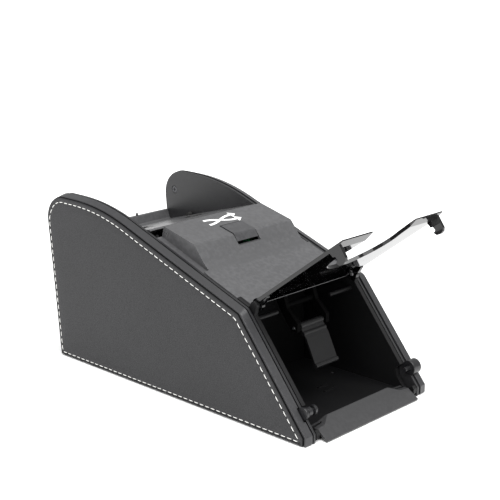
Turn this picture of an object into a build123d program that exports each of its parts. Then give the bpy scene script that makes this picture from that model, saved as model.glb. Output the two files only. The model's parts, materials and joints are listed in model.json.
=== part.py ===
"""Automatic card shuffler with a front dealing chamber, as separate pieces.

Frame: millimetres, +Z up, the dealing chamber opens towards -Y, the feed tray is at +Y.
The pieces are laid out with y = 0 at the front edge of the side frames and z = 0 on the
table, and every piece is shifted back by ORIGIN_Y when it is written.
"""
import os
from math import acos, atan, atan2, cos, degrees, hypot, pi, radians, sin, tan

from build123d import *

# ---------------------------------------------------------------- overall size
WIDTH = 126.0
BASE_DEPTH = 238.4
ORIGIN_Y = 114.18
FLOOR_GAP = 0.8
FRAME_FLOOR = 0.2
FRONT_Y = -1.8
FRONT_EDGE_HEIGHT = 6.6
KNEE = (54.5, 75.2)
CREST_Z = 122.9
TOP_SLOPE = 0.355
REAR_LEAN = 10.0 / 106.0
KNEE_RADIUS = 7.0
SHOULDER_RADIUS = 162.0
REAR_RADIUS = 20.0
FOOT_RADIUS = 1.6

# ---------------------------------------------------------------- card and clearances
CARD_LONG = 88.9
CARD_SIDE_ROOM = 4.15
RUNNING_GAP = 0.05
PART_GAP = 0.2

# ---------------------------------------------------------------- layers from the middle outwards
CHAMBER_HALF = CARD_LONG / 2 + CARD_SIDE_ROOM
LINER_OUT = CHAMBER_HALF + 3.2
WALL_IN = LINER_OUT + 0.9
WALL_OUT = WALL_IN + 1.7
FRAME_IN = WALL_OUT + 1.5
LEATHER_THICKNESS = 1.4
FRAME_OUT = WIDTH / 2 - LEATHER_THICKNESS
FRAME_WEB = 2.0
FRAME_RIM = 7.0
FRAME_BOSSES = ((26.0, 6.6), (205.0, 4.8), (60.0, 66.0), (150.0, 104.0))
WALL_PADS = ((26.0, 9.0), (60.0, 66.0), (88.0, 20.0))
BOSS_RADIUS = 2.6
BAND_CROWN = 1.5
LEATHER_INSET = 2.2
LEATHER_REAR_INSET = 0.6
LEATHER_FOOT_INSET = 0.5
SIDE_SCREW = (236.5, 107.0)
SCREW_HEAD_RADIUS = 2.6
SCREW_SHANK_RADIUS = 1.2
SCREW_SLOT_HALF = 0.35

# ---------------------------------------------------------------- floor, chamber and mouth
BASE_TOP = 2.6
BASE_SCREW_X = 39.5
BASE_SCREW_ROWS = (62.0, 134.0, 196.0)
BASE_SCREW_TOP = 3.8
CHAMBER_FLOOR = 4.2
CHAMBER_REAR_Y = 96.0
CHAMBER_BACK = ((97.2, BASE_TOP), (99.0, 86.0), (123.5, 94.6))
CHAMBER_BACK_SHEET = 1.8
LIP_FRONT_Y = -6.8
LIP_SHEET = 1.6
LIP_TOP = (8.5, 10.3)
LIP_HALF = 47.0
LIP_TOP_HALF = 31.0
LIP_SHOULDER_Z = 7.4
FLOOR_RIBS = ((8.0, 18.0, 42.2), (9.8, 19.6, 49.4))
GUIDE_ROD = (55.0, 66.0)
GUIDE_ROD_RADIUS = 1.3
GUIDE_ROD_END = 26.0
FOOT_X = 44.0
FOOT_ROWS = (16.0, 216.0)
FOOT_PAD_RADIUS = 6.0

# ---------------------------------------------------------------- shuffle head and feed tray
HEAD_HALF = 47.7
HEAD_SLOPE_HALF = WALL_IN - 0.7
HEAD_NOSE_HALF = CHAMBER_HALF - 0.2
HEAD_NOSE_Y = 66.2
HEAD_WALL = 2.2
HEAD_FRONT_Y = 57.5
HEAD_HOLLOW_Y = 96.0
HEAD_FOOT_Y = 97.5
HEAD_BEND = (109.8, 105.4)
HEAD_REAR = (139.1, 112.7)
TROUGH_DEPTH = 0.7
TRAY_FRONT = (148.5, 109.6)
TRAY_REAR = (244.0, 82.3)
TRAY_THICKNESS = 2.0
TRAY_LIP_Z = 90.0
RAMP_NUB_Y = 217.0
TRAY_HALF = WALL_IN - 0.3

# ---------------------------------------------------------------- front cover (stored open)
HINGE = (52.0, 77.0)
COVER_OPEN_TILT = 36.7
COVER_LENGTH = 88.2
COVER_HALF = 50.0
COVER_TOP = 3.0
COVER_THICKNESS = 2.4
COVER_INNER = COVER_THICKNESS - COVER_TOP
COVER_NOTCH_HALF = 26.5
COVER_NOTCH_MOUTH = 20.3
COVER_NOTCH_START = 32.0
COVER_EDGE = 0.8
COVER_BEVEL_START = 80.5
EAR_RADIUS = 4.2
EAR_IN = 45.6
EAR_OUT = 48.4
LUG_RADIUS = 2.7
HINGE_PIN_RADIUS = 1.5
HOOK_IN = 47.8
HOOK_OUT = 50.0
LATCH = (6.2, 18.6)
LATCH_POCKET_RADIUS = 5.1
LATCH_FLANGE_RADIUS = 4.2
LATCH_PIN_RADIUS = 3.3
LATCH_GROOVE_RADIUS = 2.6
LATCH_NECK_RADIUS = 1.6
LATCH_END = 45.2
LATCH_SHOULDER = 53.4
LATCH_FLANGE_IN = 54.7
LATCH_FLANGE_OUT = 56.5
CATCH_RADIUS = 5.2
CATCH_IN = 52.0
CATCH_OUT = 59.5

# ---------------------------------------------------------------- button
BUTTON_HALF = 10.2
BUTTON_REAR_Y = 122.3
BUTTON_FRONT_Y = 106.6
BUTTON_PROUD = 0.5
BUTTON_SKIN = 2.2
BUTTON_GAP = 0.6
BUTTON_STEM_Y = 115.6
WINDOW_DEPTH = 6.8
SWITCH_DEPTH = 7.6

# ---------------------------------------------------------------- drive
MODULE = 0.8
PRESSURE_ANGLE = radians(20)
BACKLASH = 0.18
PLATE_IN = 43.0
PLATE_OUT = PLATE_IN + 2.0
FEED_SHAFT = (185.0, 87.3)
EXIT_SHAFT = (136.0, 94.9)
NIP_SHAFT = (136.0, 107.2)
FEED_TEETH = 20
EXIT_TEETH = 14
IDLER_TEETH = 50
COMPOUND_LARGE = 40
COMPOUND_SMALL = 12
PINION_TEETH = 10
FEED_TYRE_RADIUS = 12.0
EXIT_TYRE_RADIUS = 10.0
NIP_TYRE_RADIUS = 2.2
TYRE_CENTRES = (-27.0, 27.0)
TYRE_WIDTH = 13.0
SHAFT_RADIUS = 1.5
NIP_SHAFT_RADIUS = 1.0
MOTOR_RADIUS = 12.0
MOTOR_FLAT = 9.0
MOTOR_LENGTH = 30.0
MOTOR_SHAFT_RADIUS = 1.0
GEAR_PIN_RADIUS = 1.2
BUSH_RADIUS = 2.8
COMPOUND_ANGLE = radians(-62)
MOTOR_ANGLE = radians(-158)
FEED_PHASE = 0.0

# ---------------------------------------------------------------- batteries
CELL_RADIUS = 7.1
CELL_LENGTH = 49.6
CELL_PITCH = 15.0
CELL_COUNT = 4
DOOR_HALF = 30.6
DOOR_LOW = 13.4
DOOR_HIGH = 76.6
PANEL_THICKNESS = 2.2
PEG_RADIUS = 0.7
PEG_REACH = 1.3
TRAY_WALL = 1.6
TRAY_BACK_Y = -20.6
CELL_Y = -11.8

# ---------------------------------------------------------------- card flap
FLAP_PIVOT = (49.4, 53.8)
FLAP_TOP = (46.0, 49.3)
FLAP_FOOT = (35.2, 29.6)
FLAP_HALF = 11.0
FLAP_PIN_RADIUS = 1.0
FLAP_ARM_X = 14.4


# ================================================================ helpers
def on_side(x):
    """Sketch plane across the width at x: local x is +Y, local y is +Z, normal is +X."""
    return Plane.YZ.offset(x)


def slab(face, x_low, x_high):
    """Extrude a (y, z) face from x_low to x_high."""
    return extrude(on_side(x_low) * face, amount=x_high - x_low)


def both_sides(shape):
    """The shape and its mirror image across the middle plane."""
    return shape + mirror(shape, about=Plane.YZ)


def block(x_low, x_high, y_low, y_high, z_low, z_high):
    size = (x_high - x_low, y_high - y_low, z_high - z_low)
    centre = ((x_high + x_low) / 2, (y_high + y_low) / 2, (z_high + z_low) / 2)
    return Pos(*centre) * Box(*size)


def rod(centre, radius, x_low, x_high):
    """Cylinder along X whose axis passes through the (y, z) centre."""
    return slab(Pos(*centre) * Circle(radius), x_low, x_high)


def group(shapes):
    """Separate solids that share one node."""
    return Compound([solid for shape in shapes for solid in shape.solids()])


def polygon(*points):
    return make_face(Polyline(*points, close=True))


def rounded(face, point, radius):
    """Round the corner of a face nearest to a (y, z) point."""
    corner = min(face.vertices(), key=lambda v: hypot(v.X - point[0], v.Y - point[1]))
    return fillet(corner, radius)


def crossing(line_a, line_b):
    """Where two lines, each a point and a direction, cross."""
    (ax, ay), (adx, ady) = line_a
    (bx, by), (bdx, bdy) = line_b
    t = ((bx - ax) * bdy - (by - ay) * bdx) / (adx * bdy - ady * bdx)
    return (ax + t * adx, ay + t * ady)


def side_outline(top_inset=0.0, front_inset=0.0, rear_inset=0.0, floor_inset=0.0):
    """The wedge profile of the sides, drawn in from its edges by the given amounts."""
    front = (FRONT_Y, FRONT_EDGE_HEIGHT)
    edges = [
        ((0.0, FRAME_FLOOR), (1.0, 0.0), floor_inset),
        ((BASE_DEPTH, 0.0), (REAR_LEAN, 1.0), rear_inset),
        ((0.0, CREST_Z), (-1.0, 0.0), top_inset),
        (KNEE, (-1.0, -TOP_SLOPE), top_inset),
        (KNEE, (front[0] - KNEE[0], front[1] - KNEE[1]), front_inset),
        (front, (0.0, -1.0), front_inset),
    ]
    lines = []
    for (py, pz), (dy, dz), inset in edges:
        length = hypot(dy, dz)
        lines.append(((py - inset * dz / length, pz + inset * dy / length), (dy, dz)))
    corners = [crossing(lines[i - 1], lines[i]) for i in range(len(lines))]
    face = polygon(*corners)
    radii = [FOOT_RADIUS, FOOT_RADIUS, REAR_RADIUS, SHOULDER_RADIUS, KNEE_RADIUS, FOOT_RADIUS]
    for corner, radius in zip(corners, radii):
        face = rounded(face, corner, max(radius - max(top_inset, rear_inset), FOOT_RADIUS / 2))
    return face


def ramp_z(y):
    """Height of the feed ramp's upper face."""
    share = (y - TRAY_FRONT[0]) / (TRAY_REAR[0] - TRAY_FRONT[0])
    return TRAY_FRONT[1] + share * (TRAY_REAR[1] - TRAY_FRONT[1])


def slope_z(y):
    """Height of the straight top slope above the knee."""
    return KNEE[1] + (y - KNEE[0]) * TOP_SLOPE


def plateau_z(y):
    """Height of the shuffle head's flat top."""
    share = (y - HEAD_BEND[0]) / (HEAD_REAR[0] - HEAD_BEND[0])
    return HEAD_BEND[1] + share * (HEAD_REAR[1] - HEAD_BEND[1])


def in_cover(s, t):
    """Point of the open cover: s along it from the hinge axis, t towards its inner face."""
    a = radians(COVER_OPEN_TILT)
    return (HINGE[0] - s * cos(a) - t * sin(a), HINGE[1] + s * sin(a) - t * cos(a))


def leaning(shape):
    """Place a shape drawn upright at y = 0 against the leaning rear panel."""
    return Pos(0, BASE_DEPTH, 0) * Rot(X=-degrees(atan(REAR_LEAN))) * shape


# ================================================================ sides
def side_frame():
    """Hollow side moulding: its edge is the pale band that frames the leather."""
    inner = on_side(FRAME_IN) * side_outline()
    outer = on_side(FRAME_OUT) * side_outline(BAND_CROWN, 0.5, 1.0, 0.2)
    body = loft([inner, outer], ruled=True)
    body -= slab(offset(side_outline(), -FRAME_RIM), FRAME_IN - 1, FRAME_OUT - FRAME_WEB)
    for spot in (*FRAME_BOSSES, SIDE_SCREW):
        body += rod(spot, BOSS_RADIUS, WALL_OUT, FRAME_OUT - FRAME_WEB)
    return body - rod(SIDE_SCREW, SCREW_SHANK_RADIUS, WALL_OUT - 1, FRAME_IN + 2.0)


def leather_panel():
    outline = side_outline(LEATHER_INSET, LEATHER_INSET, LEATHER_REAR_INSET, LEATHER_FOOT_INSET)
    body = slab(outline, FRAME_OUT, WIDTH / 2)
    rim = body.faces().sort_by(Axis.X)[-1].edges()
    return fillet(rim, LEATHER_THICKNESS * 0.7)


def inner_wall():
    """Inner side wall: its top edge is the thin strip beside the band."""
    body = slab(side_outline(0.4, 0.4, 0.9), WALL_IN, WALL_OUT)
    for spot in WALL_PADS:
        body += rod(spot, BOSS_RADIUS, LINER_OUT, WALL_IN)
    screw = rod(SIDE_SCREW, SCREW_HEAD_RADIUS + 0.4, WALL_IN - 1, WALL_IN + 1.3)
    shank = rod(SIDE_SCREW, SCREW_SHANK_RADIUS, WALL_IN, WALL_OUT + 1)
    return body - screw - shank


def along_front(s, depth):
    """Point at distance s up the sloping front edge and at a depth inside it."""
    slope = atan2(KNEE[1] - FRONT_EDGE_HEIGHT, KNEE[0] - FRONT_Y)
    y = FRONT_Y + s * cos(slope) + depth * sin(slope)
    z = FRONT_EDGE_HEIGHT + s * sin(slope) - depth * cos(slope)
    return (y, z)


def hook_pocket():
    """Room in the liner's front edge for the cover's hook and the end of the latch pin."""
    room = ((2.5, -6.0), (19.0, -6.0), (19.0, 5.4), (13.5, 8.0), (2.5, 8.0))
    return slab(polygon(*[along_front(s, depth) for s, depth in room]), 0, WALL_IN - 0.4)


def left_latch_seat():
    """Room for the grooved pin: snug in the inner wall, wide in the frame."""
    snug = rod(LATCH, LATCH_GROOVE_RADIUS, LATCH_SHOULDER, FRAME_IN)
    stem = rod(LATCH, LATCH_PIN_RADIUS + PART_GAP, LINER_OUT, LATCH_SHOULDER)
    wide = rod(LATCH, LATCH_POCKET_RADIUS, WALL_OUT + 0.1, LATCH_FLANGE_OUT + 0.6)
    return snug + stem + wide


def right_latch_seat():
    """Room for the round boss of the right-hand catch."""
    return rod(LATCH, CATCH_RADIUS + PART_GAP, CATCH_IN - 0.3, CATCH_OUT)


def side_screw():
    y, z = SIDE_SCREW
    head = rod(SIDE_SCREW, SCREW_HEAD_RADIUS, WALL_IN + 0.1, WALL_IN + 1.3)
    shank = rod(SIDE_SCREW, SCREW_SHANK_RADIUS, WALL_IN + 1.3, FRAME_IN + 1.8)
    reach = SCREW_HEAD_RADIUS - 1.0
    half = SCREW_SLOT_HALF
    slot_a = block(WALL_IN, WALL_IN + 0.7, y - reach, y + reach, z - half, z + half)
    slot_b = block(WALL_IN, WALL_IN + 0.7, y - half, y + half, z - reach, z + reach)
    return head + shank - slot_a - slot_b


# ================================================================ floor, chamber and rear
def base_plate():
    body = block(-WALL_IN, WALL_IN, 1.0, BASE_DEPTH - 1.5, FLOOR_GAP, BASE_TOP)
    for y in BASE_SCREW_ROWS:
        body -= both_sides(Pos(BASE_SCREW_X, y, 0) * Cylinder(SCREW_SHANK_RADIUS + 0.1, 8))
        body -= both_sides(Pos(BASE_SCREW_X, y, FLOOR_GAP) * Cylinder(SCREW_HEAD_RADIUS + 0.3, 1.6))
    return body


def base_screws():
    screws = []
    length = BASE_SCREW_TOP - FLOOR_GAP - 0.8
    hang = (Align.CENTER, Align.CENTER, Align.MAX)
    for y in BASE_SCREW_ROWS:
        head = Pos(BASE_SCREW_X, y, FLOOR_GAP + 0.4) * Cylinder(SCREW_HEAD_RADIUS, 0.8)
        shank = Pos(BASE_SCREW_X, y, BASE_SCREW_TOP) * Cylinder(SCREW_SHANK_RADIUS, length, align=hang)
        screws.append(both_sides(head + shank))
    return group(screws)


def rubber_feet():
    feet = []
    for y in FOOT_ROWS:
        disc = Pos(FOOT_X, y, FLOOR_GAP / 2) * Cylinder(FOOT_PAD_RADIUS, FLOOR_GAP)
        feet.append(both_sides(fillet(disc.edges().sort_by(Axis.Z)[0], 0.3)))
    return group(feet)


def hinge_lug():
    """Small eye on the liner's knee that holds the cover's hinge pin."""
    y, z = HINGE
    web = polygon((y - 2.2, z - 1.6), (y + 1.2, z + 1.4), (y + 7.0, z - 4.0), (y + 0.6, z - 9.0))
    lug = rod(HINGE, LUG_RADIUS, CHAMBER_HALF, LINER_OUT) + slab(web, CHAMBER_HALF, LINER_OUT)
    return lug - rod(HINGE, HINGE_PIN_RADIUS, 0, LINER_OUT - 0.2)


def card_chamber():
    """Floor and two side walls of the dealing chamber, with the short guide rods."""
    floor = block(-LINER_OUT, LINER_OUT, LIP_TOP[0] + 2, CHAMBER_REAR_Y, BASE_TOP, CHAMBER_FLOOR)
    wall = slab(side_outline(0.4, 0.4, 0.9, BASE_TOP - FRAME_FLOOR), CHAMBER_HALF, LINER_OUT)
    wall -= block(0, WIDTH, CHAMBER_REAR_Y, BASE_DEPTH + 20, 0, 140)
    under_head = HEAD_WALL + 0.4
    above = polygon((HEAD_NOSE_Y, slope_z(HEAD_NOSE_Y) - under_head),
                    (CHAMBER_REAR_Y + 1, slope_z(CHAMBER_REAR_Y) - under_head),
                    (CHAMBER_REAR_Y + 1, 130), (HEAD_NOSE_Y, 130))
    wall = wall - slab(above, 0, WIDTH) + hinge_lug() - hook_pocket()
    guide = rod(GUIDE_ROD, GUIDE_ROD_RADIUS, GUIDE_ROD_END, CHAMBER_HALF)
    guide = fillet(guide.edges().sort_by(Axis.X)[0], 0.6)
    body = floor + both_sides(wall + guide)
    for x_low, x_high, y in FLOOR_RIBS:
        body += block(x_low, x_high, y, y + 1.4, CHAMBER_FLOOR, CHAMBER_FLOOR + 0.8)
    screw_hole = Pos(BASE_SCREW_X, BASE_SCREW_ROWS[0], BASE_TOP) * Cylinder(SCREW_SHANK_RADIUS, 4)
    return body - both_sides(screw_hole)


def front_lip():
    """Thin ramp at the chamber's mouth that the cards are dealt over, with dropped ends."""
    half = LIP_SHEET / 2
    line = Polyline((LIP_FRONT_Y + half, FLOOR_GAP), (LIP_TOP[0] - half, LIP_TOP[1] - half),
                    (LIP_TOP[0] + half, BASE_TOP - 1))
    section = trace(line, line_width=LIP_SHEET)
    crest = min(section.vertices(), key=lambda v: -v.Y)
    section = fillet(crest, half)
    body = slab(section, -LIP_HALF, LIP_HALF)
    drop = make_face(
        Plane.XZ * Polyline((LIP_TOP_HALF, LIP_TOP[1] + 3), (LIP_TOP_HALF, LIP_TOP[1]),
                            (LIP_TOP_HALF + 8, LIP_SHOULDER_Z), (LIP_HALF + 1, LIP_SHOULDER_Z - 0.6),
                            (LIP_HALF + 1, LIP_TOP[1] + 3), close=True))
    body -= both_sides(extrude(drop, amount=30, both=True))
    below = block(-LIP_HALF - 1, LIP_HALF + 1, 0, 20, -5, BASE_TOP)
    table = block(-LIP_HALF - 1, LIP_HALF + 1, -20, 0, -5, FRAME_FLOOR)
    return body - below - table


def chamber_back():
    """Back wall of the chamber, bent over into the guide below the card path."""
    face = trace(Polyline(*CHAMBER_BACK), line_width=CHAMBER_BACK_SHEET)
    return slab(face, -CHAMBER_HALF + 0.2, CHAMBER_HALF - 0.2) & block(-60, 60, 90, 124, BASE_TOP, 120)


def rear_tray():
    """Feed ramp with slots for the tyres, and the low lip behind the cards."""
    ramp = polygon(TRAY_FRONT, TRAY_REAR, (TRAY_REAR[0], TRAY_REAR[1] - TRAY_THICKNESS),
                   (TRAY_FRONT[0] + 0.6, TRAY_FRONT[1] - TRAY_THICKNESS),
                   (TRAY_FRONT[0] - 1.2, TRAY_FRONT[1] - 1.0))
    lip_y = BASE_DEPTH + REAR_LEAN * TRAY_LIP_Z
    lip_foot = TRAY_REAR[1] - TRAY_THICKNESS
    lip = polygon((lip_y - 9.0, lip_foot), (lip_y - 1.0, lip_foot), (lip_y - 0.4, TRAY_LIP_Z),
                  (lip_y - 2.4, TRAY_LIP_Z), (lip_y - 4.6, lip_foot + 3.6))
    lip = rounded(lip, (lip_y - 2.4, TRAY_LIP_Z), 0.8)
    body = slab(ramp, -TRAY_HALF, TRAY_HALF) + slab(lip, -TRAY_HALF, TRAY_HALF)
    slot_y = FEED_SHAFT[0] + 2.8
    for x in TYRE_CENTRES:
        half = TYRE_WIDTH / 2 + 1.0
        body -= block(x - half, x + half, slot_y - 9.5, slot_y + 9.5, 70, 120)
    return body


def tray_bumpers():
    """Small rubber nubs on the lip and on the ramp that keep the pack square."""
    lip_y = BASE_DEPTH + REAR_LEAN * TRAY_LIP_Z - 1.3
    nubs = []
    for x in (-21.0, 21.0):
        nub = Pos(x, lip_y, TRAY_LIP_Z) * Cylinder(0.85, 2.0, align=(Align.CENTER, Align.CENTER, Align.MIN))
        nubs.append(fillet(nub.edges().sort_by(Axis.Z)[-1], 0.5))
    ramp_tilt = degrees(atan2(TRAY_FRONT[1] - TRAY_REAR[1], TRAY_REAR[0] - TRAY_FRONT[0]))
    for x in (-49.4, 49.4):
        base = Pos(x, RAMP_NUB_Y, ramp_z(RAMP_NUB_Y) + 0.02) * Rot(X=-ramp_tilt)
        nub = base * Box(3.4, 4.0, 2.0, align=(Align.CENTER, Align.CENTER, Align.MIN))
        nubs.append(fillet(nub.edges().filter_by(Axis.X), 0.6))
    return group(nubs)


def rear_panel():
    """Leaning rear wall with the battery opening."""
    top = TRAY_REAR[1] - TRAY_THICKNESS - 0.6
    panel = leaning(block(-TRAY_HALF, TRAY_HALF, -PANEL_THICKNESS - 1.0, -1.0, BASE_TOP + 0.2, top))
    opening = leaning(block(-DOOR_HALF - 0.3, DOOR_HALF + 0.3, -8, 3, DOOR_LOW - 0.4, DOOR_HIGH + 0.3))
    pegs = leaning(rod((-1.0 - PANEL_THICKNESS / 2, DOOR_LOW + 1.1), PEG_RADIUS + RUNNING_GAP,
                       -DOOR_HALF - PEG_REACH - 0.2, DOOR_HALF + PEG_REACH + 0.2))
    return panel - opening - pegs


# ================================================================ batteries
def battery_door():
    """Door hinged on two small pegs along its lower edge, with a thumb catch at the top."""
    y_mid = -1.0 - PANEL_THICKNESS / 2
    half = PANEL_THICKNESS / 2
    axis_z = DOOR_LOW + 1.1
    leaf = block(-DOOR_HALF, DOOR_HALF, y_mid - half, y_mid + half, axis_z, DOOR_HIGH)
    knuckle = rod((y_mid, axis_z), half, -DOOR_HALF, DOOR_HALF)
    pegs = rod((y_mid, axis_z), PEG_RADIUS, -DOOR_HALF - PEG_REACH, DOOR_HALF + PEG_REACH)
    catch = block(-8, 8, y_mid + half - 0.8, y_mid + half + 0.1, DOOR_HIGH - 7, DOOR_HIGH - 1.5)
    ribs = [block(-8, 8, y_mid + half - 0.4, y_mid + half + 0.6, z, z + 0.9)
            for z in (DOOR_HIGH - 6.0, DOOR_HIGH - 4.4, DOOR_HIGH - 2.8)]
    body = leaf + knuckle + pegs - catch
    for rib in ribs:
        body += rib
    return leaning(body)


def battery_tray():
    low = DOOR_LOW - 1.5
    high = DOOR_HIGH + 1.5
    half = DOOR_HALF + 1.6
    outer = block(-half, half, TRAY_BACK_Y, -PANEL_THICKNESS - 1.2, low, high)
    inner = block(-half + TRAY_WALL, half - TRAY_WALL, TRAY_BACK_Y + TRAY_WALL, 0,
                  low + TRAY_WALL, high - TRAY_WALL)
    return leaning(outer - inner)


def cell_height(index):
    return DOOR_LOW + 2.2 + CELL_RADIUS + index * CELL_PITCH + 0.4


def batteries():
    cells = []
    for index in range(CELL_COUNT):
        centre = (CELL_Y, cell_height(index))
        cell = rod(centre, CELL_RADIUS, -CELL_LENGTH / 2, CELL_LENGTH / 2 - 1.2)
        cell += rod(centre, 2.7, CELL_LENGTH / 2 - 1.2, CELL_LENGTH / 2)
        if index % 2 == 0:
            cell = mirror(cell, about=Plane.YZ)
        cells.append(leaning(cell))
    return group(cells)


def battery_contacts():
    """Bent strips that join neighbouring cells at each end of the tray."""
    wall_x = DOOR_HALF + 1.6 - TRAY_WALL
    strips = []
    for side, pairs in ((-1, ((0, 1), (2, 3))), (1, ((1, 2), (0, 0), (3, 3)))):
        for first, last in pairs:
            low = cell_height(first) - 5.0
            high = cell_height(last) + 5.0
            strip = block(wall_x - 0.8, wall_x - 0.1, CELL_Y - 4.5, CELL_Y + 4.5, low, high)
            for index in {first, last}:
                strip += rod((CELL_Y, cell_height(index)), 2.4, CELL_LENGTH / 2 + 0.25, wall_x - 0.7)
            if side < 0:
                strip = mirror(strip, about=Plane.YZ)
            strips.append(leaning(strip))
    return group(strips)


# ================================================================ shuffle head and button
def head_outline(drop=0.0):
    """Outer line of the head from its front edge over the bend to its rear edge."""
    return [
        (HEAD_FRONT_Y, slope_z(HEAD_FRONT_Y) - drop),
        (HEAD_FOOT_Y, slope_z(HEAD_FOOT_Y) - drop),
        (HEAD_BEND[0] + drop * 0.5, HEAD_BEND[1] - drop),
        (HEAD_REAR[0], HEAD_REAR[1] - drop),
    ]


def head_shell():
    """Bent skin of the head; its nose is narrow enough to drop between the liners."""
    upper = head_outline()
    lower = head_outline(HEAD_WALL)
    face = polygon(*upper, *reversed(lower))
    face = rounded(face, upper[1], 26)
    face = rounded(face, lower[1], 24)
    face = rounded(face, upper[2], 3.2)
    beside_nose = block(HEAD_NOSE_HALF, WIDTH, 0, HEAD_NOSE_Y + 0.1, 0, 140)
    beside_head = block(HEAD_HALF, WIDTH, HEAD_HOLLOW_Y, HEAD_REAR[0] + 5, 80, 130)
    return slab(face, -HEAD_SLOPE_HALF, HEAD_SLOPE_HALF) - both_sides(beside_nose + beside_head)


def trough_z(y):
    """Height of the narrow troughs beside the raised head."""
    return slope_z(y) - TROUGH_DEPTH


def head_cover():
    """Top of the machine: sloped front skin, raised flat head and its side skirts."""
    front_y = HEAD_HOLLOW_Y
    rear_y = HEAD_REAR[0] + 1.8
    skirt = polygon((HEAD_FOOT_Y + 1, trough_z(HEAD_FOOT_Y + 1)), head_outline(1.0)[2],
                    (HEAD_REAR[0], HEAD_REAR[1] - 0.5), (rear_y, trough_z(rear_y)))
    skirts = both_sides(slab(skirt, HEAD_HALF - HEAD_WALL, HEAD_HALF))
    ledge = polygon((front_y - 2, trough_z(front_y - 2)), (front_y - 2, trough_z(front_y - 2) - 1.6),
                    (rear_y, trough_z(rear_y) - 1.6), (rear_y, trough_z(rear_y)))
    ledges = both_sides(slab(ledge, HEAD_HALF - HEAD_WALL, WALL_IN - PART_GAP))
    nip_bore = both_sides(rod(NIP_SHAFT, NIP_SHAFT_RADIUS + RUNNING_GAP, 40, 60))
    return head_shell() + skirts + ledges - nip_bore - button_window()


def button_line(lift):
    """Button's outer line: flat top, over the bend, down the front of the head."""
    front_drop = 5.0
    return [
        (BUTTON_REAR_Y, plateau_z(BUTTON_REAR_Y) + lift),
        (HEAD_BEND[0] - lift * 0.4, HEAD_BEND[1] + lift),
        (BUTTON_FRONT_Y - lift * 0.4, HEAD_BEND[1] - front_drop + lift),
    ]


def button_window():
    """Opening for the button; its rear wall follows the direction the button is pressed in."""
    low = HEAD_BEND[1] - WINDOW_DEPTH
    high = button_line(3.0)[0][1]
    rear = BUTTON_REAR_Y + BUTTON_GAP
    front = BUTTON_FRONT_Y - 8
    slant = (high - low) * tan(plateau_tilt())
    half = BUTTON_HALF + BUTTON_GAP
    return slab(polygon((rear, high), (front, high), (front, low), (rear + slant, low)), -half, half)


def plateau_tilt():
    return atan2(HEAD_REAR[1] - HEAD_BEND[1], HEAD_REAR[0] - HEAD_BEND[0])


def upright_on_button(shape, depth):
    """Place a shape on the button's stem axis, that far below the flat top."""
    tilt = plateau_tilt()
    y = BUTTON_STEM_Y + depth * sin(tilt)
    z = plateau_z(BUTTON_STEM_Y) - depth * cos(tilt)
    return Pos(0, y, z) * Rot(X=degrees(tilt)) * shape


def shuffle_button():
    outer = button_line(BUTTON_PROUD)
    inner = [(y + (0.2 if i else 0.0), z) for i, (y, z) in enumerate(button_line(BUTTON_PROUD - BUTTON_SKIN))]
    inner[2] = (BUTTON_FRONT_Y + 1.9, inner[2][1] + 2.0)
    cap = polygon(*outer, *reversed(inner))
    cap = rounded(cap, outer[1], 2.4)
    body = slab(cap, -BUTTON_HALF, BUTTON_HALF)
    stem = upright_on_button(Cylinder(1.8, 5.2, align=(Align.CENTER, Align.CENTER, Align.MAX)), 1.0)
    return body + stem


def button_spring():
    """Light return spring round the button's stem, as a plain sleeve."""
    sleeve = Cylinder(3.0, 3.9, align=(Align.CENTER, Align.CENTER, Align.MAX))
    sleeve -= Cylinder(2.3, 9)
    return upright_on_button(sleeve, BUTTON_SKIN - BUTTON_PROUD + 0.5)


def switch_board():
    """Board under the head that carries the push switch, on two side posts."""
    board = Box(34, 11, 1.2, align=(Align.CENTER, Align.CENTER, Align.MAX))
    board -= Cylinder(0.6, 6)
    return upright_on_button(board, SWITCH_DEPTH + 2.9)


def push_switch():
    body = Box(6.2, 6.2, 2.2, align=(Align.CENTER, Align.CENTER, Align.MAX))
    plunger = Cylinder(1.4, 0.6, align=(Align.CENTER, Align.CENTER, Align.MIN))
    return upright_on_button(body, SWITCH_DEPTH + 0.7) + upright_on_button(plunger, SWITCH_DEPTH + 0.7)


def board_posts():
    """Two posts that hang the switch board from the head."""
    posts = []
    for x in (-14.5, 14.5):
        post = Box(3.0, 4.0, SWITCH_DEPTH + 2.1 - HEAD_WALL, align=(Align.CENTER, Align.CENTER, Align.MIN))
        posts.append(Pos(x, 0, 0) * upright_on_button(Pos(0, 1.4, 0) * post, SWITCH_DEPTH + 2.9))
    return group(posts)


# ================================================================ front cover
def hook_section():
    """C-shaped hook below the cover's side edge, open towards the hinge."""
    points = [(74.8, COVER_INNER - 0.7), (75.7, 2.5), (77.5, 2.8), (78.0, 5.2), (77.2, 6.0), (75.6, 6.1),
              (77.3, 8.7), (80.4, 9.4), (82.7, 8.7), (84.3, 6.8), (84.4, COVER_INNER - 0.7)]
    face = polygon(*[in_cover(s, t) for s, t in points])
    return rounded(face, in_cover(*points[5]), 0.4)


def thumb_notch():
    """Deep round-bottomed notch in the cover, cut square to its face."""
    mouth = COVER_NOTCH_START + COVER_NOTCH_HALF
    depth = COVER_LENGTH - COVER_NOTCH_START
    waist = COVER_NOTCH_MOUTH + 1.6
    notch = Pos(0, mouth) * Circle(COVER_NOTCH_HALF)
    notch += polygon((-COVER_NOTCH_HALF, mouth), (COVER_NOTCH_HALF, mouth), (waist, mouth + depth * 0.42),
                     (COVER_NOTCH_MOUTH, mouth + depth), (-COVER_NOTCH_MOUTH, mouth + depth),
                     (-waist, mouth + depth * 0.42))
    a = radians(COVER_OPEN_TILT)
    cover_plane = Plane(origin=(0, *HINGE), x_dir=(-1, 0, 0), z_dir=(0, sin(a), cos(a)))
    return extrude(cover_plane * notch, amount=20, both=True)


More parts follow.
